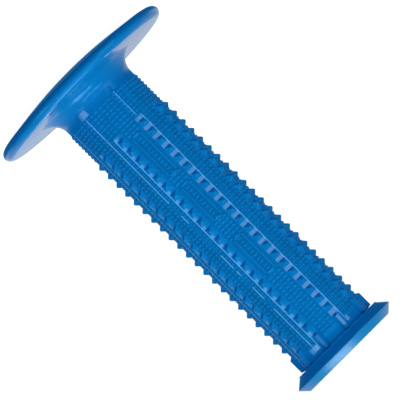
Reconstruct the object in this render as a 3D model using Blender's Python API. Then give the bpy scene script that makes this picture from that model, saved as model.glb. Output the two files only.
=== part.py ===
"""Flanged handlebar grip: a moulded rubber sleeve and the push-in plug of its outer end.

Units are metres, +Z up. The origin is the centre of the seat face under the wide inner
flange, and +Z runs along the bore to the narrow outer flange. Angles around the bore are
counted from the front (-Y) towards -X.
Run it with: blender --background --python part.py
"""

import math

import bmesh
import bpy

MM = 0.001

# ---- driving dimensions ------------------------------------------------------------
LENGTH = 127.0 * MM             # seat face to outer end face
BORE_R = 11.0 * MM              # a snug fit on a 22.2 mm handlebar
BORE_LEAD = 0.6 * MM            # chamfer at the bore's mouth

# Wide inner flange: a domed disc with a rounded rim, blended into the neck
SEAT_R = 15.3 * MM              # edge of the flat the grip stands on
FLANGE_R = 34.73 * MM
RIM_FLAT_R = 32.4 * MM          # where the rim's rounding starts
RIM_Z0, RIM_Z1 = 2.45 * MM, 6.6 * MM
DOME_POWER = 1.15               # 1 would make the dome a plain cone
FILLET_R = 6.16 * MM
FILLET_Z = 12.8 * MM            # height of the fillet's centre
NECK_R = 14.32 * MM

# Gripping surface: strips of square pyramid teeth, and a raised tab past the last tooth
STRIPS = 10
TEETH = 22
BODY_R = 14.4 * MM
TEXTURE_Z = 14.6 * MM
TOOTH_TIP_R = 15.6 * MM
TOOTH_HALF_Z = 1.33 * MM
TOOTH_HALF_ANGLE = math.radians(5.75)
FIRST_TOOTH_Z = 28.5 * MM
TOOTH_PITCH = 3.966 * MM
TAB_R = 15.65 * MM
TAB_Z0, TAB_Z1 = 114.7 * MM, 120.8 * MM
TAB_CHAMFER = 0.9 * MM

# Narrow outer flange: two bevels that meet in a sharp ridge, and a recess for the plug
CAP_Z = 121.2 * MM
CAP_START_R = 17.3 * MM
CAP_RIDGE_Z, CAP_RIDGE_R = 124.3 * MM, 20.5 * MM
CAP_END_R = 17.7 * MM
RECESS_R = 12.95 * MM
RECESS_DEPTH = 2.6 * MM

# Plug: a domed disc in the recess, on a hollow ribbed stem that enters the bar's tube
GAP = 0.3 * MM
DISC_R = RECESS_R - GAP
DISC_Z = LENGTH - RECESS_DEPTH + GAP
DISC_EDGE_Z, DISC_TOP_Z = 126.1 * MM, 126.7 * MM
STEM_R, STEM_HOLE_R = 8.3 * MM, 6.4 * MM
STEM_LENGTH = 18.0 * MM
STEM_FLOOR = 1.2 * MM           # how far the hollow stops below the disc
RIBS = 3
RIB_R = 9.5 * MM
RIB_PITCH = 4.6 * MM
RIB_FIRST = 3.2 * MM            # first rib above the stem's inner end
RIB_HALF = 1.3 * MM
PLUG_SEGMENTS = 40

# ---- look ---------------------------------------------------------------------------
RUBBER_BLUE = (0.003, 0.147, 0.509)
PLUG_BLUE = (0.004, 0.120, 0.440)

STRIP_STEP = 2 * math.pi / STRIPS


def clear_scene():
    for obj in list(bpy.data.objects):
        bpy.data.objects.remove(obj, do_unlink=True)


def material(name, colour, roughness):
    mat = bpy.data.materials.new(name)
    mat.use_nodes = True
    shader = mat.node_tree.nodes["Principled BSDF"]
    shader.inputs["Base Color"].default_value = (*colour, 1.0)
    shader.inputs["Roughness"].default_value = roughness
    shader.inputs["Metallic"].default_value = 0.0
    mat.diffuse_color = (*colour, 1.0)
    return mat


def add_object(name, bm, mat):
    """Turn a bmesh into one closed, smooth-shaded object with its creases kept sharp."""
    bmesh.ops.recalc_face_normals(bm, faces=bm.faces)
    mesh = bpy.data.meshes.new(name)
    bm.to_mesh(mesh)
    bm.free()
    mesh.materials.append(mat)
    mesh.shade_smooth()
    mesh.set_sharp_from_angle(angle=math.radians(30))
    obj = bpy.data.objects.new(name, mesh)
    bpy.context.scene.collection.objects.link(obj)
    return obj


def point(angle, radius, z):
    return (-radius * math.sin(angle), -radius * math.cos(angle), z)


def make_ring(bm, angles, radius, z):
    return [bm.verts.new(point(a, radius, z)) for a in angles]


def bridge(bm, ring_a, ring_b):
    """Join two rings of equal count with quads."""
    for i in range(len(ring_a)):
        j = (i + 1) % len(ring_a)
        bm.faces.new((ring_a[i], ring_a[j], ring_b[j], ring_b[i]))


def stitch(bm, line_a, line_b):
    """Join two upright lines of vertices with triangles; on a tie line_a goes up first."""
    a, b = 0, 0
    while a < len(line_a) - 1 or b < len(line_b) - 1:
        climb_a = b == len(line_b) - 1
        if not climb_a and a < len(line_a) - 1:
            climb_a = line_a[a + 1].co.z <= line_b[b + 1].co.z
        if climb_a:
            bm.faces.new((line_a[a], line_b[b], line_a[a + 1]))
            a += 1
        else:
            bm.faces.new((line_a[a], line_b[b], line_b[b + 1]))
            b += 1


def arc(centre_r, centre_z, radius_r, radius_z, start, end, steps):
    """Points (r, z) along an elliptical arc, in degrees from +r towards +z."""
    points = []
    for i in range(steps + 1):
        t = math.radians(start + (end - start) * i / steps)
        points.append((centre_r + radius_r * math.cos(t), centre_z + radius_z * math.sin(t)))
    return points


def dome(steps):
    """The flange's outer face: a low dome, nearly a cone, from the seat to the rim."""
    points = []
    for i in range(steps):
        r = SEAT_R + (RIM_FLAT_R - SEAT_R) * i / steps
        rise = ((r - SEAT_R) / (RIM_FLAT_R - SEAT_R)) ** DOME_POWER
        points.append((r, RIM_Z0 * rise))
    return points


def sleeve_profile():
    """(r, z) from the top of the grip surface, over the cap, down the bore and up the neck."""
    recess_z = LENGTH - RECESS_DEPTH
    outer_end = [
        (BODY_R, CAP_Z),
        (CAP_START_R, CAP_Z),
        (CAP_RIDGE_R, CAP_RIDGE_Z),
        (CAP_END_R, LENGTH),
        (RECESS_R, LENGTH),
        (RECESS_R, recess_z),
        (BORE_R, recess_z),
        (BORE_R, BORE_LEAD),
        (BORE_R + BORE_LEAD, 0.0),
    ]
    rim_mid_z = (RIM_Z0 + RIM_Z1) / 2
    rim_half = (RIM_Z1 - RIM_Z0) / 2
    rim = arc(RIM_FLAT_R, rim_mid_z, FLANGE_R - RIM_FLAT_R, rim_half, -90, 90, 8)
    fillet = arc(NECK_R + FILLET_R, FILLET_Z, FILLET_R, FILLET_R, -90, -180, 6)
    return outer_end + dome(5) + rim + fillet + [(NECK_R, TEXTURE_Z - GAP)]


def tooth_centres():
    return [FIRST_TOOTH_Z + i * TOOTH_PITCH for i in range(TEETH)]


def panel_stations():
    """(z, r) up the middle of a panel, one station to each land between two teeth."""
    lands = [(z - TOOTH_PITCH / 2, BODY_R) for z in tooth_centres()]
    return [(TEXTURE_Z, BODY_R)] + lands + [(CAP_Z, BODY_R)]


def tooth_edge_stations():
    stations = [(TEXTURE_Z, BODY_R)]
    for z in tooth_centres():
        stations += [(z - TOOTH_HALF_Z, BODY_R), (z + TOOTH_HALF_Z, BODY_R)]
    return stations + [(TAB_Z0, BODY_R), (TAB_Z1, BODY_R), (CAP_Z, BODY_R)]


def crest_stations():
    stations = [(TEXTURE_Z, BODY_R)]
    for z in tooth_centres():
        stations += [(z - TOOTH_HALF_Z, BODY_R), (z, TOOTH_TIP_R), (z + TOOTH_HALF_Z, BODY_R)]
    tab = [
        (TAB_Z0, BODY_R),
        (TAB_Z0 + TAB_CHAMFER, TAB_R),
        (TAB_Z1 - TAB_CHAMFER, TAB_R),
        (TAB_Z1, BODY_R),
    ]
    return stations + tab + [(CAP_Z, BODY_R)]


def grip_lines():
    """(angle, stations, is_crest) of each upright line: panel, edge, crest, edge, repeated."""
    lines = []
    for k in range(STRIPS):
        panel = k * STRIP_STEP
        crest = panel + STRIP_STEP / 2
        lines.append((panel, panel_stations(), False))
        lines.append((crest - TOOTH_HALF_ANGLE, tooth_edge_stations(), False))
        lines.append((crest, crest_stations(), True))
        lines.append((crest + TOOTH_HALF_ANGLE, tooth_edge_stations(), False))
    return lines


def build_sleeve(mat):
    """One moulding: the turned flanges and bore, with the toothed surface between them."""
    bm = bmesh.new()
    lines = grip_lines()
    angles = [line[0] for line in lines]
    rings = [make_ring(bm, angles, r, z) for r, z in sleeve_profile()]
    for ring_a, ring_b in zip(rings, rings[1:]):
        bridge(bm, ring_a, ring_b)

    top_ring = rings[0]
    columns = []
    for (angle, stations, _), top in zip(lines, top_ring):
        column = [bm.verts.new(point(angle, r, z)) for z, r in stations[:-1]]
        columns.append(column + [top])
    bridge(bm, rings[-1], [column[0] for column in columns])

    for i, column in enumerate(columns):
        neighbour = columns[(i + 1) % len(columns)]
        if lines[i][2]:
            stitch(bm, neighbour, column)
        else:
            stitch(bm, column, neighbour)
    return add_object("grip_sleeve", bm, mat)


def plug_profile():
    """(r, z) of the plug from the middle of its dome, down the ribbed stem, into its hollow."""
    stem_z0 = LENGTH - RECESS_DEPTH - STEM_LENGTH
    crown = [(DISC_R * 0.4, DISC_TOP_Z - 0.1 * MM), (DISC_R * 0.8, DISC_TOP_Z - 0.35 * MM)]
    disc = crown + [(DISC_R - GAP, DISC_EDGE_Z), (DISC_R, DISC_EDGE_Z - GAP), (DISC_R, DISC_Z)]
    ribs = [(STEM_R, DISC_Z)]
    for i in reversed(range(RIBS)):
        z = stem_z0 + RIB_FIRST + i * RIB_PITCH
        ribs += [(STEM_R, z + RIB_HALF), (RIB_R, z + RIB_HALF / 2), (STEM_R, z - RIB_HALF)]
    hollow = [
        (STEM_R, stem_z0 + GAP),
        (STEM_R - GAP, stem_z0),
        (STEM_HOLE_R, stem_z0),
        (STEM_HOLE_R, DISC_Z - STEM_FLOOR),
    ]
    return disc + ribs + hollow


def build_plug(mat):
    """The push-in plug that closes the outer end; it pulls out along +Z."""
    bm = bmesh.new()
    angles = [2 * math.pi * i / PLUG_SEGMENTS for i in range(PLUG_SEGMENTS)]
    rings = [make_ring(bm, angles, r, z) for r, z in plug_profile()]
    for ring_a, ring_b in zip(rings, rings[1:]):
        bridge(bm, ring_a, ring_b)
    top = bm.verts.new((0.0, 0.0, DISC_TOP_Z))
    floor = bm.verts.new((0.0, 0.0, DISC_Z - STEM_FLOOR))
    for ring, centre in ((rings[0], top), (rings[-1], floor)):
        for i in range(PLUG_SEGMENTS):
            bm.faces.new((ring[i], ring[(i + 1) % PLUG_SEGMENTS], centre))
    return add_object("end_plug", bm, mat)


def main():
    clear_scene()
    build_sleeve(material("grip_rubber", RUBBER_BLUE, 0.42))
    build_plug(material("plug_plastic", PLUG_BLUE, 0.35))


main()
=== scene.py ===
"""Looks of the flanged handlebar grip: a moulded rubber sleeve and the plug of its outer end.

The scene is in metres and +Z runs along the bore, from the seat under the wide flange to the
outer end. Shapes are worked out in millimetres. Angles around the bore are in degrees, from
the front (-Y) towards -X.
"""

import math

import bpy
from mathutils import Matrix, Vector


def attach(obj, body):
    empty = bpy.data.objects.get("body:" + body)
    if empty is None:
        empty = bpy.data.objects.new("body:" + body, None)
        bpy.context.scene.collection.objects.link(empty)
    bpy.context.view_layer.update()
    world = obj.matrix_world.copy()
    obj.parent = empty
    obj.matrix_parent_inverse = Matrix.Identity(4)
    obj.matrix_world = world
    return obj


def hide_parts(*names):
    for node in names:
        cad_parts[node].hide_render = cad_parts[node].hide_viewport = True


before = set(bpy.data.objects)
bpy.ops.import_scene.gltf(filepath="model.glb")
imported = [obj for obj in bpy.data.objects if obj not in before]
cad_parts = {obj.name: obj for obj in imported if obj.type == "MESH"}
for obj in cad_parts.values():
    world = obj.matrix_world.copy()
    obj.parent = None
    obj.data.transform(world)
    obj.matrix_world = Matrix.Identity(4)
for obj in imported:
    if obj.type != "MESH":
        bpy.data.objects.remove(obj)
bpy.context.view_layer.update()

MM = 0.001
SHARP_ANGLE = 38                # edges sharper than this many degrees stay hard

# ---- sleeve: turned parts (mm) ---------------------------------------------------------
LENGTH = 127.0
BORE_R, BORE_LEAD, BORE_MIDDLE_Z = 11.0, 0.6, 60.0
LEAD_BEND = (0.4, 0.25)         # the lead-in's middle point, as shares of its two sides
SEAT_R, FLANGE_R, RIM_FLAT_R = 15.3, 34.73, 32.4
RIM_Z0, RIM_Z1 = 2.45, 6.6
DOME_POWER = 1.15               # 1 would make the dome a plain cone
DOME_STEPS, RIM_STEPS, FILLET_STEPS = 12, 16, 12
NECK_R, FILLET_R, FILLET_Z = 14.32, 6.16, 12.8
BODY_R, BODY_STEP = 14.4, 0.3   # the neck widens to the body over the step's length
CAP_Z, CAP_START_R, CAP_STEP = 121.2, 17.3, 0.35
CAP_RIDGE_Z, CAP_RIDGE_R, CAP_END_R = 124.3, 20.5, 17.7
CAP_CORNER, CAP_CORNER_STEPS = 0.28, 3  # rounding of the corners of the cap and its recess
CORNER_SHARE = 0.45             # a rounding takes up no more than this share of each side
RECESS_R, RECESS_DEPTH = 12.95, 2.6

# ---- sleeve: relief of the gripping surface (mm, degrees from a strip's centre) ---------
STRIPS, STRIP_STEP = 5, 36.0    # tooth strips on each side of the front
STRIP_CENTRES = [STRIP_STEP * (i + 0.5) for i in range(STRIPS)]
FRONT_STRIP, SECOND_STRIP, BACK_STRIP = STRIP_CENTRES[0], STRIP_CENTRES[1], STRIP_CENTRES[-1]
LED_LADDERS = [(FRONT_STRIP, 1), (BACK_STRIP, -1)]  # strip and side that a neck line leads to
RELIEF_Z0 = 10.3                # where the turned flange hands over to the relief
FILLET_MIDDLE_Z = 11.1          # one more station on the fillet's curve
TEXTURE_Z0, TEXTURE_Z1 = 14.6, 117.3

BUMP_PITCH = 1.452
BUMP_SAMPLES = 5                # stations to each bump, along the bore
BUMP_STATION = BUMP_PITCH / BUMP_SAMPLES
BUMP_H = 0.42
BUMP_STEP, PANEL_STEP = 7.27, 7.44  # angle between rows of bumps: sides, front panel
BUMP_PHASE = 1.5                # turns the rows of bumps on the sides into place
BUMP_ACROSS, BUMP_ALONG = 0.9, 0.7  # powers of the bumps' cosine waves; lower is fuller
PANEL_COLUMN, PANEL_COLUMNS = 1.24, 10  # the front panel's columns, on each side of its middle

FIRST_TOOTH_Z, TOOTH_PITCH, TEETH = 28.5, 3.966, 22
TOOTH_HALF_Z, TOOTH_H = 1.33, 1.3
TOOTH_IN, TOOTH_OUT, TOOTH_CELLS = -4.7, 6.2, 6  # the teeth's edges, and cells between them
TOOTH_MIDDLE = (TOOTH_IN + TOOTH_OUT) / 2
TOOTH_CURVE = 1.25              # 1 would make the pyramids' faces flat
LADDER_Z0, LADDER_STEP = 26.0, 0.35  # where the bumps stop, and from there to the ladder's foot

RAIL = (6.6, 7.9, 8.2)          # top from, top to, outer foot; the inner foot is TOOTH_OUT
RAIL_H, RAIL_Z1 = 0.14, 119.55
LINE = (14.0, 14.25, 15.45, 15.7)  # inner foot, top from, top to, outer foot
LINE_H, LINE_Z0, LINE_Z1 = 0.22, 13.6, 118.0
FAINT_LINE = 0.4                # height of the line beside a led ladder, against LINE_H
COARSE_Z0, COARSE_STEP, COARSE_COUNT = 30.0, 4.0, 22  # stations of rails and lines
COARSE_SPAN = (27.0, 117.15)    # these and the dashes' stations are only kept within it
# Where the broken line beside a ladder runs, and how long a dash's slope is
DASHES = [(13.0, 52.5), (58.2, 61.4), (75.8, 81.9), (83.2, 85.2), (90.4, 95.6), (100.1, 119.0)]
DASH_END = 0.1
SEAM = (22.0, 22.4, 22.8)       # foot, top, foot
SEAM_H = 0.1
BUMPS_AFTER_RAIL = (10.33, 12.17)
BUMPS_AFTER_LINE = (17.35, 18.9, 20.45)
BUMPS_AFTER_SEAM = (24.7, 26.6, 28.5)
LAST_FOOT = STRIP_STEP - 5.6    # the smooth column just before the next strip

# The single line that leads up to a ladder, on a column each side of the teeth's middle
NECK_LINE_HALF, NECK_LINE_Z1 = 0.55, 25.4
NECK_LINE_H = LINE_H + BUMP_H / 2

# Smooth pads and the last tab: foot, top from, top to, foot along the bore
PAD_H = 0.2
NECK_PAD, NECK_PAD_REACH = (11.9, 12.05, 14.35, 14.5), 20.46
END_PAD, END_PAD_REACH, NARROW_PAD_REACH = (117.45, 117.65, 119.4, 119.6), 22.41, 12.2
END_PAD_EDGE = 0.5              # how far past its top the end pad's painted highlight reaches, in degrees
END_LAND_Z = 120.3
TAB, TAB_ACROSS = (114.7, 115.6, 120.8, 121.1), (TOOTH_IN, TOOTH_IN + 1.7, 1.5, 2.6)
TAB_H = 1.25

# Plain frames on the front panel: where their sides lie, and where each starts and stops
FRAME_SIDE, FRAME_H = (6.2, 7.44), 0.36
FRAMES = [(29.4, 46.8), (51.6, 67.0), (75.3, 90.8)]
FRAME_CORNER = 0.6              # how much sooner a frame's sides end than its middle
FRAME_END = BUMP_STATION * 1.5  # width of a frame's ends, along the bore
FRAME_MARGIN, FRAME_END_MARGIN = 1.4, 0.2  # flat ground beside the sides and past the ends

SLACK = 0.1                     # when an offset is compared with an edge, in degrees
SAME_STATION = 1e-4             # mm between stations that count as one

# What the relief attribute holds, from which the materials paint shade: 1 on smooth ground, the
# value below on the teeth, so the teeth are painted a little darker
TEETH_PAINTED_SHADE = 0.75
BUMP_TOP = 0.8                  # share of a bump's height from which it counts as its crest
# Painted shade on the bumps inside a frame: their value is scaled by the first and lowered by the
# second
FRAME_PAINTED_SHADE, FRAME_PAINTED_SHADE_DROP = 0.8, 0.2

# Finishes: their place in the sleeve's list of materials. The cap's finish is a darker copy of the
# smooth rubber that paints shade; the finish of the lines is a paler glossy one that paints
# highlight
TEXTURED, SMOOTH, POLISHED, CAP_PAINTED_SHADE, PAINTED_HIGHLIGHT = range(5)
SHINING_H = 0.1                 # a rail or line no higher than this stays dull, with no painted highlight
RUNG_SHINE = 2.5                # offset from which the rungs of the side -1 are brightest, with the painted highlight


def point(angle, radius, z):
    a = math.radians(angle)
    return (-radius * math.sin(a) * MM, -radius * math.cos(a) * MM, z * MM)


def ramp(z, low, low_top, high_top, high):
    """0 outside low..high, 1 between low_top and high_top, straight between them."""
    if z <= low or z >= high:
        return 0.0
    if z < low_top:
        return (z - low) / (low_top - low)
    if z > high_top:
        return (high - z) / (high - high_top)
    return 1.0


def base_radius(z):
    """Radius of the plain sleeve under the relief."""
    if z < FILLET_Z:
        drop = FILLET_Z - z
        return NECK_R + FILLET_R - math.sqrt(FILLET_R * FILLET_R - drop * drop)
    if z < TEXTURE_Z0 - BODY_STEP:
        return NECK_R
    if z < TEXTURE_Z0:
        return NECK_R + (BODY_R - NECK_R) * (z - TEXTURE_Z0 + BODY_STEP) / BODY_STEP
    return BODY_R


def fine_bump(offset, z, step):
    """Oval bumps in rows, each row step degrees from the next."""
    across = 0.5 + 0.5 * math.cos(2 * math.pi * offset / step)
    along = 0.5 + 0.5 * math.cos(2 * math.pi * (z - TEXTURE_Z0) / BUMP_PITCH - math.pi)
    return BUMP_H * across ** BUMP_ACROSS * along ** BUMP_ALONG


def nearest_tooth(z):
    """Number of the nearest tooth along a strip, and how far z is from its middle."""
    n = round((z - FIRST_TOOTH_Z) / TOOTH_PITCH)
    return n, z - FIRST_TOOTH_Z - n * TOOTH_PITCH


def tooth(offset, z):
    """Height of the square pyramid at this place, and 0 on the lands between them."""
    n, away = nearest_tooth(z)
    if n < 0 or n >= TEETH:
        return 0.0
    u = abs(offset - TOOTH_MIDDLE) / (TOOTH_OUT - TOOTH_MIDDLE)
    m = max(u, abs(away) / TOOTH_HALF_Z)
    return TOOTH_H * (1.0 - m ** TOOTH_CURVE) if m < 1.0 else 0.0


# ---- stations along the bore ------------------------------------------------------------
def neck_stations():
    return [RELIEF_Z0, FILLET_MIDDLE_Z, *NECK_PAD, TEXTURE_Z0]


def bump_stations(stop):
    count = int((stop - TEXTURE_Z0) / BUMP_STATION)
    return [TEXTURE_Z0 + BUMP_STATION * (i + 1) for i in range(count)]


def ladder_foot_stations():
    return neck_stations() + bump_stations(LADDER_Z0) + [LADDER_Z0 + LADDER_STEP]


def end_stations():
    return [*END_PAD, END_LAND_Z, CAP_Z]


def panel_stations():
    return neck_stations() + bump_stations(TEXTURE_Z1) + end_stations()


def strip_stations():
    """Stations that follow the teeth and, past the last one, the tab."""
    stations = ladder_foot_stations()
    half_cells = TOOTH_CELLS // 2
    land = TOOTH_PITCH - 2 * TOOTH_HALF_Z
    for n in range(TEETH):
        z = FIRST_TOOTH_Z + n * TOOTH_PITCH
        stations += [z + TOOTH_HALF_Z * i / half_cells for i in range(-half_cells, half_cells + 1)]
        if n < TEETH - 1:
            stations.append(z + TOOTH_HALF_Z + land / 2)
    return stations + [TAB[0], TAB[1], *END_PAD, TAB[2], TAB[3], CAP_Z]


def line_stations():
    """Few stations along the smooth rails and lines, with one at each end of a dash."""
    coarse = [COARSE_Z0 + COARSE_STEP * i for i in range(COARSE_COUNT)]
    for low, high in DASHES:
        coarse += [low - DASH_END, low, high, high + DASH_END]
    coarse = sorted(z for z in coarse if COARSE_SPAN[0] < z < COARSE_SPAN[1])
    return ladder_foot_stations() + coarse + end_stations()


# ---- columns around the bore ------------------------------------------------------------
class Column:
    """An upright line of vertices at one angle.

    The strip is the angle of the tooth strip that the column belongs to, and 0 on the front
    and back panels. The kind says which stations it has and the role what it is a part of.
    """

    def __init__(self, side, strip, offset, kind, role):
        self.side, self.strip, self.offset = side, strip, offset
        self.kind, self.role = kind, role
        self.angle = side * (strip + offset)
        stations = {"panel": panel_stations, "strip": strip_stations, "line": line_stations}
        self.z = stations[kind]()
        self.verts = []

    def led(self):
        """Whether a neck line leads up to this column's ladder."""
        return (self.strip, self.side) in LED_LADDERS

    def by_panel(self):
        """Whether this column's strip is the one next to the front or the back panel."""
        return self.strip in (FRONT_STRIP, BACK_STRIP)

    def bright(self):
        """Whether this column is by a ladder whose lands and lines shine, and so get the polished
        finish and the painted highlight.
        """
        return self.by_panel() or (self.strip == SECOND_STRIP and self.side < 0)

    def has_pad(self, which):
        """Whether this column's strip has a smooth pad at its neck or at its end."""
        return self.by_panel() and (which == "end" or not self.led())

    def pad_reach(self, z):
        """Offset of a pad's far edge: a led ladder has a narrow pad at its end."""
        if z < TEXTURE_Z0:
            return NECK_PAD_REACH
        return NARROW_PAD_REACH if self.led() else END_PAD_REACH

    def on_pad(self, which, z):
        """Whether this column crosses the pad at this end of its strip."""
        return RAIL[0] - SLACK <= self.offset <= self.pad_reach(z) and self.has_pad(which)

    def neck_line(self, z):
        """The single line that leads up to one ladder of each pair."""
        near = abs(self.offset - TOOTH_MIDDLE) < NECK_LINE_HALF + SLACK
        return self.led() and near and LINE_Z0 < z < NECK_LINE_Z1

    def line_height(self, z):
        """The thin line: whole on most strips, low or broken into dashes beside the ladders."""
        if self.led():
            return FAINT_LINE * LINE_H if z > LADDER_Z0 else 0.0
        if self.by_panel():
            return LINE_H * max(ramp(z, a - DASH_END, a, b, b + DASH_END) for a, b in DASHES)
        return LINE_H

    def neck_height(self, z):
        """Relief below the texture: a pad, or the start of the thin line."""
        if self.on_pad("neck", z):
            return PAD_H * ramp(z, *NECK_PAD)
        return self.line_height(z) if self.role == "line" and z > LINE_Z0 else 0.0

    def ladder_height(self, z):
        """The teeth, and the tab that ends each strip."""
        if z >= TAB[0]:
            return TAB_H * ramp(self.offset, *TAB_ACROSS) * ramp(z, *TAB)
        return tooth(self.offset, z)

    def height(self, z):
        """Relief above the plain sleeve, in mm."""
        if self.neck_line(z):
            return NECK_LINE_H
        if self.strip > 0 and z <= TEXTURE_Z0:
            return self.neck_height(z)
        if z >= END_PAD[0] and self.on_pad("end", z):
            rail = self.role == "rail" and z <= END_PAD[0]
            return max(PAD_H * ramp(z, *END_PAD), RAIL_H if rail else 0.0)
        if self.role == "line":
            return self.line_height(z) if z < LINE_Z1 else 0.0
        if self.role == "seam":
            return SEAM_H if TEXTURE_Z0 < z < LINE_Z1 else 0.0
        if self.role == "rail" and z > LADDER_Z0:
            return RAIL_H if z < RAIL_Z1 else 0.0
        if self.role == "tooth" and z > LADDER_Z0:
            return self.ladder_height(z)
        bumpy = TEXTURE_Z0 < z < TEXTURE_Z1 and self.role != "foot"
        return self.bump(z) if bumpy else 0.0

    def bump(self, z):
        """Height of the fine bumps, or of a frame on the front panel."""
        if self.role != "oval":
            return fine_bump(self.offset + BUMP_PHASE, z, BUMP_STEP)
        if self.frame_place(z) == "on":
            return FRAME_H
        return 0.0 if self.beside_frame(z) else fine_bump(self.offset, z, PANEL_STEP)

    def tone(self, z):
        """Painted shade, carried by the relief attribute: 1 on crests and on smooth ground, 0 in
        the grooves, and less inside a frame.
        """
        if self.role == "tooth" and z > LADDER_Z0:
            return TEETH_PAINTED_SHADE if tooth(self.offset, z) > 0.0 else 1.0
        if not TEXTURE_Z0 < z < TEXTURE_Z1 or self.role in ("rail", "line"):
            return 1.0
        if self.frame_place(z) == "on":
            return 1.0
        tone = min(1.0, self.height(z) / (BUMP_H * BUMP_TOP))
        inside = self.frame_place(z) == "inside"
        return tone * FRAME_PAINTED_SHADE - FRAME_PAINTED_SHADE_DROP if inside else tone

    def frame_place(self, z):
        """Whether this place is on a plain frame of the front panel, inside one or outside."""
        away = abs(self.offset)
        if self.role != "oval" or away > FRAME_SIDE[1] + SLACK:
            return "outside"
        on_side = away > FRAME_SIDE[0] - SLACK
        corner = FRAME_CORNER if on_side else 0.0
        for low, high in FRAMES:
            start, stop = low + corner, high - corner
            if start - BUMP_STATION / 2 < z < stop + BUMP_STATION / 2:
                on_end = min(z - start, stop - z) < FRAME_END
                return "on" if on_side or on_end else "inside"
        return "outside"

    def beside_frame(self, z):
        """The narrow flat margins along both sides of a frame."""
        away = abs(self.offset)
        if not FRAME_SIDE[0] - FRAME_MARGIN < away < FRAME_SIDE[1] + FRAME_MARGIN:
            return False
        return any(low - FRAME_END_MARGIN < z < high + FRAME_END_MARGIN for low, high in FRAMES)


def tooth_offsets(strip):
    """Offsets of the columns over the teeth; the middle one is a pair where a line may lead."""
    step = (TOOTH_OUT - TOOTH_IN) / TOOTH_CELLS
    offsets = [TOOTH_IN + i * step for i in range(TOOTH_CELLS + 1)]
    if strip in (FRONT_STRIP, BACK_STRIP):
        middle = TOOTH_CELLS // 2
        pair = [offsets[middle] - NECK_LINE_HALF, offsets[middle] + NECK_LINE_HALF]
        offsets[middle:middle + 1] = pair
    return offsets


def pattern(strip):
    """Offset, kind and role of the columns from one tooth strip up to the next."""
    columns = [(offset, "strip", "tooth") for offset in tooth_offsets(strip)]
    columns += [(RAIL[0], "line", "rail"), (RAIL[1], "line", "rail"), (RAIL[2], "panel", "foot")]
    columns += [(offset, "panel", "bump") for offset in BUMPS_AFTER_RAIL]
    columns += [(LINE[0], "panel", "foot"), (LINE[1], "line", "line")]
    columns += [(LINE[2], "line", "line"), (LINE[3], "panel", "foot")]
    if strip == BACK_STRIP:
        return columns
    columns += [(offset, "panel", "bump") for offset in BUMPS_AFTER_LINE]
    columns += [(SEAM[0], "panel", "foot"), (SEAM[1], "line", "seam"), (SEAM[2], "panel", "foot")]
    columns += [(offset, "panel", "bump") for offset in BUMPS_AFTER_SEAM]
    return columns + [(LAST_FOOT, "panel", "foot")]


def side_columns(side):
    """The columns of one half of the pattern, from beside the front panel to the back."""
    return [Column(side, strip, *column) for strip in STRIP_CENTRES for column in pattern(strip)]


def all_columns():
    """Every column in order around the bore, from the front panel towards -X and on."""
    across = range(-PANEL_COLUMNS, PANEL_COLUMNS + 1)
    front = [Column(1, 0.0, PANEL_COLUMN * i, "panel", "oval") for i in across]
    back = Column(1, 0.0, 180.0, "panel", "bump")
    return front + side_columns(1) + [back] + side_columns(-1)[::-1]


# ---- which finish the sleeve has where --------------------------------------------------
def pad_between(a, b, reach):
    """Whether the skin between two columns lies on a pad with this reach."""
    low, high = sorted((a.offset, b.offset))
    return a.strip == b.strip and low >= TOOTH_OUT - SLACK and high <= reach


def raised_finish(column, z):
    """The top of a rail or a thin line, with a painted highlight where it shines."""
    shines = column.height(z) > SHINING_H and column.bright()
    return PAINTED_HIGHLIGHT if shines and (z > LADDER_Z0 or column.role == "line") else TEXTURED


def ladder_finish(a, b, z):
    """The polished rungs between the teeth and the tab's polished crown; on the side -1 the outer
    rungs get the painted highlight.
    """
    low, high = sorted((a.offset, b.offset))
    if z > TAB[0]:
        crown = TAB[1] < z < TAB[2] and TAB_ACROSS[1] < low and high < TAB_ACROSS[2]
        return POLISHED if crown and a.by_panel() else TEXTURED
    if tooth(TOOTH_MIDDLE, z) > 0.0 or not a.bright() or (a.side < 0 and low < 0.0):
        return TEXTURED
    return PAINTED_HIGHLIGHT if a.side < 0 and low > RUNG_SHINE else POLISHED


def finish_at(a, b, z):
    """Which of the sleeve's finishes a face between columns a and b has at height z."""
    if z > END_PAD[3]:
        return TEXTURED
    if z < NECK_PAD[3]:
        on_pad = z > NECK_PAD[0] and a.has_pad("neck") and pad_between(a, b, a.pad_reach(z))
        return POLISHED if on_pad else SMOOTH
    for column in (a, b):
        if column.role in ("rail", "line"):
            return raised_finish(column, z)
    if a.kind == "strip" and b.kind == "strip" and z > LADDER_Z0:
        return ladder_finish(a, b, z)
    # The neck line and the end pad's top get the painted highlight
    if a.neck_line(z) and b.neck_line(z):
        return PAINTED_HIGHLIGHT
    on_pad = a.has_pad("end") and pad_between(a, b, a.pad_reach(z) + END_PAD_EDGE)
    return PAINTED_HIGHLIGHT if on_pad and z > END_PAD[0] else TEXTURED


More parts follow.
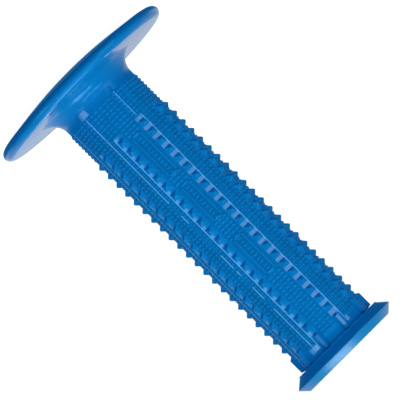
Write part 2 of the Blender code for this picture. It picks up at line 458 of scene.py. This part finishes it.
# ---- mesh making ------------------------------------------------------------------------
class Builder:
    """Collects a mesh's vertices and faces, with a finish for each face and, in the relief
    attribute, a painted-shade value for each vertex.
    """

    def __init__(self):
        self.points, self.faces, self.finish, self.relief = [], [], [], []

    def vert(self, angle, radius, z, relief=1.0):
        self.points.append(point(angle, radius, z))
        self.relief.append(relief)
        return len(self.points) - 1

    def face(self, verts, finish):
        self.faces.append(verts)
        self.finish.append(finish)

    def ring(self, angles, radius, z):
        return [self.vert(a, radius, z) for a in angles]

    def bridge(self, low, high, finish):
        count = len(low)
        for i in range(count):
            j = (i + 1) % count
            self.face((low[i], low[j], high[j], high[i]), finish)

    def cell(self, a, b, z, corners, finish):
        """One quad, or on a tooth two triangles that follow the pyramid's ridges."""
        middle = (a.offset + b.offset) / 2
        teeth = a.role == "tooth" and b.role == "tooth"
        if not teeth or tooth(middle, z) <= 0.0:
            self.face(corners, finish)
            return
        away = nearest_tooth(z)[1]
        rising = b.offset > a.offset
        if ((middle - TOOTH_MIDDLE) * away > 0) == rising:
            self.face(corners[:3], finish)
            self.face((corners[0], *corners[2:]), finish)
        else:
            self.face((*corners[:2], corners[3]), finish)
            self.face(corners[1:], finish)

    def join(self, a, b):
        """Skin between two neighbouring columns: quads where both have a station."""
        i = j = 0
        while i < len(a.z) - 1 or j < len(b.z) - 1:
            next_a = a.z[i + 1] if i < len(a.z) - 1 else math.inf
            next_b = b.z[j + 1] if j < len(b.z) - 1 else math.inf
            z = (min(a.z[i], b.z[j]) + min(next_a, next_b)) / 2
            finish = finish_at(a, b, z)
            if abs(next_a - next_b) < SAME_STATION:
                corners = (a.verts[i], b.verts[j], b.verts[j + 1], a.verts[i + 1])
                self.cell(a, b, z, corners, finish)
                i, j = i + 1, j + 1
            elif next_a < next_b:
                self.face((a.verts[i], b.verts[j], a.verts[i + 1]), finish)
                i += 1
            else:
                self.face((a.verts[i], b.verts[j], b.verts[j + 1]), finish)
                j += 1

    def object(self, name, materials):
        mesh = bpy.data.meshes.new(name)
        mesh.from_pydata(self.points, [], self.faces)
        for mat in materials:
            mesh.materials.append(mat)
        mesh.polygons.foreach_set("material_index", self.finish)
        # The relief attribute carries each vertex's painted shade
        relief = mesh.attributes.new("relief", "FLOAT", "POINT")
        relief.data.foreach_set("value", self.relief)
        mesh.shade_smooth()
        mesh.set_sharp_from_angle(angle=math.radians(SHARP_ANGLE))
        mesh.update()
        made = bpy.data.objects.new(name, mesh)
        bpy.context.scene.collection.objects.link(made)
        return made


def arc(centre_r, centre_z, radius_r, radius_z, start, end, steps):
    points = []
    for i in range(steps + 1):
        t = math.radians(start + (end - start) * i / steps)
        points.append((centre_r + radius_r * math.cos(t), centre_z + radius_z * math.sin(t)))
    return points


def rounded(corners, radius, steps):
    """Swap each inner corner of an (r, z) polyline for a small curve."""
    out = [corners[0]]
    for before, here, after in zip(corners, corners[1:], corners[2:]):
        h = Vector(here)
        back, ahead = Vector(before) - h, Vector(after) - h
        start = h + back.normalized() * min(radius, back.length * CORNER_SHARE)
        end = h + ahead.normalized() * min(radius, ahead.length * CORNER_SHARE)
        for i in range(steps + 1):
            t = i / steps
            p = start * (1 - t) ** 2 + h * (2 * t * (1 - t)) + end * t * t
            out.append((p.x, p.y))
    return out + [corners[-1]]


def flange_profile():
    """From the seat's edge over the dome and the rim, and up the fillet to the relief."""
    dome = []
    for i in range(DOME_STEPS + 1):
        r = SEAT_R + (RIM_FLAT_R - SEAT_R) * i / DOME_STEPS
        rise = ((r - SEAT_R) / (RIM_FLAT_R - SEAT_R)) ** DOME_POWER
        dome.append((r, RIM_Z0 * rise))
    rim_mid, rim_half = (RIM_Z0 + RIM_Z1) / 2, (RIM_Z1 - RIM_Z0) / 2
    rim = arc(RIM_FLAT_R, rim_mid, FLANGE_R - RIM_FLAT_R, rim_half, -90, 90, RIM_STEPS)
    stop = -180 + math.degrees(math.asin((FILLET_Z - RELIEF_Z0) / FILLET_R))
    fillet = arc(NECK_R + FILLET_R, FILLET_Z, FILLET_R, FILLET_R, -90, stop, FILLET_STEPS)
    return dome + rim[1:] + fillet[:-1]


def outer_end_profile():
    """From the top of the relief over the cap and its recess, and down the bore."""
    recess_z = LENGTH - RECESS_DEPTH
    corners = [
        (BODY_R, CAP_Z),
        (CAP_START_R, CAP_Z),
        (CAP_START_R, CAP_Z + CAP_STEP),
        (CAP_RIDGE_R, CAP_RIDGE_Z),
        (CAP_END_R, LENGTH),
        (RECESS_R, LENGTH),
        (RECESS_R, recess_z),
        (BORE_R, recess_z),
        (BORE_R, BORE_MIDDLE_Z),
    ]
    mouth = [
        (BORE_R, BORE_LEAD),
        (BORE_R + BORE_LEAD * LEAD_BEND[0], BORE_LEAD * LEAD_BEND[1]),
        (BORE_R + BORE_LEAD, 0.0),
    ]
    return rounded(corners, CAP_CORNER, CAP_CORNER_STEPS) + mouth


def outer_end_finish(here, after):
    """The finish of the cap between two points of the outer end's profile: a thin highlight line
    painted in the brighter textured colour on the step, painted shade on the outer bevel.
    """
    r, z = (here[0] + after[0]) / 2, (here[1] + after[1]) / 2
    # Painted highlight: the step's thin light line takes the brighter textured colour
    if CAP_Z < z < CAP_Z + CAP_STEP:
        return TEXTURED
    # Painted shade: the outer bevel takes the darker copy of the rubber
    bevel = CAP_RIDGE_Z <= z < LENGTH and r > RECESS_R + CAP_CORNER / 2
    return CAP_PAINTED_SHADE if bevel else SMOOTH


def build_sleeve(materials):
    made = Builder()
    columns = all_columns()
    angles = [c.angle for c in columns]
    for c in columns:
        # Each vertex also gets its painted shade, the column's tone
        c.verts = [made.vert(c.angle, base_radius(z) + c.height(z), z, c.tone(z)) for z in c.z]
    for a, b in zip(columns, columns[1:] + columns[:1]):
        made.join(a, b)

    flange = [made.ring(angles, r, z) for r, z in flange_profile()]
    for low, high in zip(flange, flange[1:] + [[c.verts[0] for c in columns]]):
        made.bridge(low, high, SMOOTH)

    profile = outer_end_profile()
    rings = [[c.verts[-1] for c in columns]]
    rings += [made.ring(angles, r, z) for r, z in profile[1:]]
    for i in range(len(profile) - 1):
        made.bridge(rings[i], rings[i + 1], outer_end_finish(profile[i], profile[i + 1]))
    made.bridge(rings[-1], flange[0], SMOOTH)
    return made.object("grip_sleeve_skin", materials)


# ---- plug (mm) --------------------------------------------------------------------------
GAP = 0.3
DISC_R, DISC_EDGE_Z, DISC_TOP_Z = RECESS_R - GAP, 126.1, 126.7
DISC_Z = LENGTH - RECESS_DEPTH + GAP
CROWN_STEPS, PLUG_CORNER, PLUG_CORNER_STEPS = 10, 0.14, 2
STEM_R, STEM_HOLE_R, STEM_LENGTH, STEM_FLOOR = 8.3, 6.4, 18.0, 1.2
RIBS, RIB_R, RIB_PITCH, RIB_FIRST, RIB_HALF = 3, 9.5, 4.6, 3.2, 1.3
PLUG_SEGMENTS = 120


def plug_profile():
    """From the crown over the disc, down the ribbed stem and up inside it to its floor."""
    stem_z0 = LENGTH - RECESS_DEPTH - STEM_LENGTH
    crown = []
    for i in range(1, CROWN_STEPS + 1):
        t = i / CROWN_STEPS
        crown.append(((DISC_R - GAP) * t, DISC_TOP_Z - (DISC_TOP_Z - DISC_EDGE_Z) * t * t))
    outer = [(DISC_R, DISC_EDGE_Z - GAP), (DISC_R, DISC_Z), (STEM_R, DISC_Z)]
    ribs = []
    for i in reversed(range(RIBS)):
        z = stem_z0 + RIB_FIRST + i * RIB_PITCH
        ribs += [(STEM_R, z + RIB_HALF), (RIB_R, z + RIB_HALF / 2), (STEM_R, z - RIB_HALF)]
    hollow = [(STEM_R, stem_z0), (STEM_HOLE_R, stem_z0), (STEM_HOLE_R, DISC_Z - STEM_FLOOR)]
    return rounded(crown + outer + ribs + hollow, PLUG_CORNER, PLUG_CORNER_STEPS)


def build_plug(material):
    made = Builder()
    angles = [360.0 * i / PLUG_SEGMENTS for i in range(PLUG_SEGMENTS)]
    rings = [made.ring(angles, r, z) for r, z in plug_profile()]
    for low, high in zip(rings, rings[1:]):
        made.bridge(low, high, 0)
    top = made.vert(0.0, 0.0, DISC_TOP_Z)
    floor = made.vert(0.0, 0.0, DISC_Z - STEM_FLOOR)
    for i in range(PLUG_SEGMENTS):
        j = (i + 1) % PLUG_SEGMENTS
        made.face((rings[0][i], top, rings[0][j]), 0)
    for i in range(PLUG_SEGMENTS):
        j = (i + 1) % PLUG_SEGMENTS
        made.face((rings[-1][j], floor, rings[-1][i]), 0)
    return made.object("end_plug_skin", [material])


# ---- materials --------------------------------------------------------------------------
NOISE_RANGE = (0.3, 0.7)        # where most of a noise's values lie
TONE_SCALE, GLOSS_SCALE = 140.0, 420.0
GLOSS_SPREAD = 0.12             # how much the roughness varies, as a share of it
GRAIN_STRENGTH = 0.6
WHITE = (1.0, 1.0, 1.0, 1.0)
MIX_FACTOR, MIX_A, MIX_B, MIX_RESULT = 0, 6, 7, 2  # a colour Mix node's sockets


class Nodes:
    """A material's node tree, with short ways to add and wire nodes."""

    def __init__(self, name):
        self.material = bpy.data.materials.new(name)
        self.material.use_nodes = True
        self.tree = self.material.node_tree
        self.shader = self.tree.nodes["Principled BSDF"]
        self.where = self.add("ShaderNodeTexCoord").outputs["Object"]

    def add(self, kind, **inputs):
        node = self.tree.nodes.new(kind)
        for name, value in inputs.items():
            node.inputs[name.replace("_", " ")].default_value = value
        return node

    def link(self, out, into):
        self.tree.links.new(out, into)

    def noise(self, scale, detail=2.0):
        node = self.add("ShaderNodeTexNoise", Scale=scale, Detail=detail)
        self.link(self.where, node.inputs["Vector"])
        return node.outputs["Fac"]

    def ranged(self, value, *numbers):
        """Maps the first two numbers to the last two, straight between them."""
        node = self.add("ShaderNodeMapRange")
        for i, number in enumerate(numbers):
            node.inputs[i + 1].default_value = number
        self.link(value, node.inputs[0])
        return node.outputs[0]

    def spread(self, value, low, high):
        """Maps a noise's middle range to low..high."""
        return self.ranged(value, *NOISE_RANGE, low, high)

    def mix(self, blend):
        node = self.add("ShaderNodeMix")
        node.data_type = "RGBA"
        node.blend_type = blend
        return node


def blue_finish(name, colour, tone, roughness, grain, grain_depth, specular, tint, groove_shade=0.0):
    """Moulded blue: slow tone changes, a fine grain, uneven gloss and painted shade in the
    grooves.

    The tone is the share by which the colour varies, the grain depth is in metres, and the
    groove shade is the share of its colour that a groove loses to painted shade.
    """
    n = Nodes(name)
    mottled = n.mix("MIX")
    mottled.inputs[MIX_A].default_value = (*[c * (1.0 - tone) for c in colour], 1.0)
    mottled.inputs[MIX_B].default_value = (*[c * (1.0 + tone) for c in colour], 1.0)
    n.link(n.spread(n.noise(TONE_SCALE, detail=3.0), 0.0, 1.0), mottled.inputs[MIX_FACTOR])

    # Painted shade: the relief attribute darkens the colour in the grooves, on the teeth and
    # inside frames
    groove = n.add("ShaderNodeAttribute")
    groove.attribute_name = "relief"
    darker = n.ranged(groove.outputs["Fac"], -1.0, 1.0, 1.0 - 2.0 * groove_shade, 1.0)
    shaded = n.mix("MULTIPLY")
    shaded.inputs[MIX_FACTOR].default_value = 1.0
    n.link(mottled.outputs[MIX_RESULT], shaded.inputs[MIX_A])
    n.link(darker, shaded.inputs[MIX_B])
    n.link(shaded.outputs[MIX_RESULT], n.shader.inputs["Base Color"])

    low, high = roughness * (1.0 - GLOSS_SPREAD), roughness * (1.0 + GLOSS_SPREAD)
    gloss = n.spread(n.noise(GLOSS_SCALE, detail=4.0), low, high)
    n.link(gloss, n.shader.inputs["Roughness"])
    bump = n.add("ShaderNodeBump", Strength=GRAIN_STRENGTH, Distance=grain_depth)
    n.link(n.noise(grain, detail=3.0), bump.inputs["Height"])
    n.link(bump.outputs["Normal"], n.shader.inputs["Normal"])
    n.shader.inputs["Metallic"].default_value = 0.0
    n.shader.inputs["Specular IOR Level"].default_value = specular
    n.shader.inputs["Specular Tint"].default_value = (*tint, 1.0)
    n.material.diffuse_color = (*colour, 1.0)
    return n.material


def sleeve_finishes():
    """The sleeve's materials, in the order of TEXTURED, SMOOTH, POLISHED, CAP_PAINTED_SHADE and PAINTED_HIGHLIGHT."""
    return [
        blue_finish("rubber_textured", (0.0015, 0.237, 0.63), tone=0.06, roughness=0.6,
                    grain=3200.0, grain_depth=0.00004, specular=0.3,
                    tint=(0.03, 0.45, 1.0), groove_shade=0.27),
        blue_finish("rubber_smooth", (0.001, 0.198, 0.545), tone=0.03, roughness=0.18,
                    grain=2200.0, grain_depth=0.000002, specular=0.4, tint=(0.12, 0.55, 1.0)),
        # Glossy, and a little paler and redder than the textured rubber, which paints part of a
        # highlight
        blue_finish("rubber_polished_painted_highlight", (0.02, 0.235, 0.6), tone=0.04, roughness=0.2,
                    grain=2600.0, grain_depth=0.000005, specular=0.6, tint=(0.6, 0.85, 1.0)),
        # A darker copy of the smooth rubber: painted shade on the cap's outer bevel
        blue_finish("rubber_cap_painted_shade", (0.001, 0.18, 0.45), tone=0.03, roughness=0.3,
                    grain=2200.0, grain_depth=0.000003, specular=0.6, tint=(0.5, 0.74, 0.9)),
        # Glossy, and much paler than the textured rubber: a painted highlight on lines, rungs, the
        # neck line and the end pads
        blue_finish("rubber_painted_highlight", (0.05, 0.4, 0.85), tone=0.04, roughness=0.2,
                    grain=2600.0, grain_depth=0.000005, specular=0.6, tint=(0.6, 0.85, 1.0)),
    ]


def plug_finish():
    return blue_finish("plug_moulded", (0.004, 0.125, 0.440), tone=0.04, roughness=0.36,
                       grain=3000.0, grain_depth=0.00003, specular=0.5, tint=(0.15, 0.5, 1.0))


# ---- floor and world --------------------------------------------------------------------
FLOOR_HALF, FLOOR_Z = 0.7, -0.0005
FLOOR_GREY, FLOOR_GLOW = (0.25, 0.25, 0.25, 1.0), 0.96
FLOOR_NOISE_SCALE, FLOOR_ROUGHNESS = 3.0, (0.86, 0.9)

# The light of the world by direction: x to the side, y behind and z up, each from -1 to 1.
# Each pair of edges says between which values the change from one strength to the next lies.
WORLD_LIGHT, WORLD_SIDES, SIDE_EDGES = 0.5, 0.25, (0.7, 0.95)
WORLD_BELOW, BELOW_EDGES = 0.9, (-0.3, 0.1)
WORLD_ABOVE, ABOVE_EDGES = 0.3, (0.5, 0.8)
BACKDROP, BACKDROP_Z_EDGES, BACKDROP_Y_EDGES = 0.3, (0.12, 0.2), (0.4, 0.7)
BELOW_COLOUR, COLOUR_EDGES = (0.06, 0.42, 0.8, 1.0), (-0.1, 0.02)
SEEN_WHITE = 1.05


def floor_material():
    n = Nodes("studio_floor")
    n.link(n.spread(n.noise(FLOOR_NOISE_SCALE), *FLOOR_ROUGHNESS), n.shader.inputs["Roughness"])
    n.shader.inputs["Base Color"].default_value = FLOOR_GREY
    n.shader.inputs["Emission Color"].default_value = WHITE
    n.shader.inputs["Emission Strength"].default_value = FLOOR_GLOW
    return n.material


def make_floor():
    mesh = bpy.data.meshes.new("studio_floor")
    corners = [(-1, -1), (1, -1), (1, 1), (-1, 1)]
    points = [(x * FLOOR_HALF, y * FLOOR_HALF, FLOOR_Z) for x, y in corners]
    mesh.from_pydata(points, [], [(0, 1, 2, 3)])
    mesh.materials.append(floor_material())
    floor = bpy.data.objects.new("studio_floor", mesh)
    floor.visible_diffuse = False
    floor.visible_glossy = False
    bpy.context.scene.collection.objects.link(floor)


def make_world():
    """Plain white for the camera. As light it is dimmer at the sides and above, blue below,
    and a little brighter in a low band behind the grip."""
    world = bpy.data.worlds.new("studio")
    bpy.context.scene.world = world
    world.use_nodes = True
    tree = world.node_tree
    link = tree.links.new

    def math_node(operation, a, b):
        node = tree.nodes.new("ShaderNodeMath")
        node.operation = operation
        for socket, value in zip(node.inputs, (a, b)):
            if isinstance(value, float):
                socket.default_value = value
            else:
                link(value, socket)
        return node.outputs[0]

    def ranged(value, *numbers):
        node = tree.nodes.new("ShaderNodeMapRange")
        node.interpolation_type = "SMOOTHSTEP"
        for i, number in enumerate(numbers):
            node.inputs[i + 1].default_value = number
        link(value, node.inputs[0])
        return node.outputs[0]

    split = tree.nodes.new("ShaderNodeSeparateXYZ")
    link(tree.nodes.new("ShaderNodeTexCoord").outputs["Generated"], split.inputs[0])
    x, y, z = split.outputs
    sides = ranged(math_node("ABSOLUTE", x, 0.0), *SIDE_EDGES, WORLD_LIGHT, WORLD_SIDES)
    below = ranged(z, *BELOW_EDGES, WORLD_BELOW, 1.0)
    above = ranged(z, *ABOVE_EDGES, 1.0, WORLD_ABOVE)
    low = ranged(math_node("ABSOLUTE", z, 0.0), *BACKDROP_Z_EDGES, 1.0, 0.0)
    behind = math_node("MULTIPLY", low, ranged(y, *BACKDROP_Y_EDGES, 0.0, BACKDROP))
    around = math_node("MULTIPLY", math_node("MULTIPLY", sides, below), above)

    colour = tree.nodes.new("ShaderNodeMix")
    colour.data_type = "RGBA"
    colour.inputs[MIX_A].default_value = BELOW_COLOUR
    colour.inputs[MIX_B].default_value = WHITE
    link(ranged(z, *COLOUR_EDGES, 0.0, 1.0), colour.inputs[MIX_FACTOR])
    light = tree.nodes["Background"]
    link(colour.outputs[MIX_RESULT], light.inputs["Color"])
    link(math_node("ADD", around, behind), light.inputs["Strength"])

    seen = tree.nodes.new("ShaderNodeBackground")
    seen.inputs["Color"].default_value = WHITE
    seen.inputs["Strength"].default_value = SEEN_WHITE
    mix = tree.nodes.new("ShaderNodeMixShader")
    link(tree.nodes.new("ShaderNodeLightPath").outputs["Is Camera Ray"], mix.inputs[0])
    link(light.outputs[0], mix.inputs[1])
    link(seen.outputs[0], mix.inputs[2])
    link(mix.outputs[0], tree.nodes["World Output"].inputs["Surface"])


# ---- lights and camera ------------------------------------------------------------------
LIGHTS_AIM_Z = 0.062

# name: azimuth, elevation (degrees), distance, width, height (metres), power (watts)
SOFT_BOXES = {
    "overhead_box": (-90, 82, 0.95, 0.5, 0.5, 5.0),
    "left_box": (43, 2, 1.1, 0.5, 0.9, 3.2),
    "right_box": (-55, 2, 1.1, 0.42, 0.9, 3.2),
    "front_high_box": (0, 47, 1.2, 1.3, 0.2, 5.2),
    "back_high_box": (180, 42, 1.2, 0.45, 0.25, 2.0),
    "front_low_box": (8, 19, 1.2, 0.9, 0.05, 0.7),
}

CAMERA_AZIMUTH = 2.9            # towards +X
CAMERA_Z = 0.1244
CAMERA_DISTANCE = 1.403
CAMERA_ROLL = 45.0              # the grip runs down the picture's diagonal
SENSOR = 36.0
PICTURE_WIDTH = 0.1290          # metres across the picture, at the grip's axis
AIM_Z = 0.0582
AIM_SIDE = 0.00057


def soft_box(name, azimuth, elevation, distance, width, height, power):
    """An area light facing the grip. Azimuth 0 is the front (-Y) and grows towards -X."""
    data = bpy.data.lights.new(name, "AREA")
    data.shape = "RECTANGLE"
    data.size, data.size_y = width, height
    data.energy = power
    lamp = bpy.data.objects.new(name, data)
    a, e = math.radians(azimuth), math.radians(elevation)
    away = Vector((-math.sin(a) * math.cos(e), -math.cos(a) * math.cos(e), math.sin(e)))
    lamp.location = Vector((0.0, 0.0, LIGHTS_AIM_Z)) + away * distance
    lamp.rotation_mode = "QUATERNION"
    lamp.rotation_quaternion = away.to_track_quat("Z", "Y")
    lamp.visible_camera = False
    bpy.context.scene.collection.objects.link(lamp)


def make_lights():
    for name, settings in SOFT_BOXES.items():
        soft_box(name, *settings)


def make_camera():
    """The grip lies across the picture: +Z to the lower right, -X to the upper right."""
    a = math.radians(CAMERA_AZIMUTH)
    where = Vector((CAMERA_DISTANCE * math.sin(a), -CAMERA_DISTANCE * math.cos(a), CAMERA_Z))
    sideways = Vector((-math.cos(a), -math.sin(a), 0.0))
    target = Vector((0.0, 0.0, AIM_Z)) + sideways * AIM_SIDE
    forward = (target - where).normalized()
    across = (sideways - forward * sideways.dot(forward)).normalized()
    along = forward.cross(across)
    roll = math.radians(CAMERA_ROLL)
    right = across * math.cos(roll) + along * math.sin(roll)
    up = across * math.sin(roll) - along * math.cos(roll)
    turn = Matrix((right, up, -forward)).transposed()
    data = bpy.data.cameras.new("camera")
    data.sensor_width = SENSOR
    data.lens = SENSOR * (target - where).length / PICTURE_WIDTH
    data.clip_start, data.clip_end = 0.05, 50.0
    camera = bpy.data.objects.new("camera", data)
    camera.matrix_world = Matrix.Translation(where) @ turn.to_4x4()
    bpy.context.scene.collection.objects.link(camera)
    bpy.context.scene.camera = camera


# ---- put it together --------------------------------------------------------------------
sleeve = build_sleeve(sleeve_finishes())
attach(sleeve, "sleeve")
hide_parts("grip_sleeve")

plug = build_plug(plug_finish())
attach(plug, "plug")
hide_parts("end_plug")

make_floor()
make_world()
make_lights()
make_camera()
bpy.context.scene.view_settings.view_transform = "Standard"
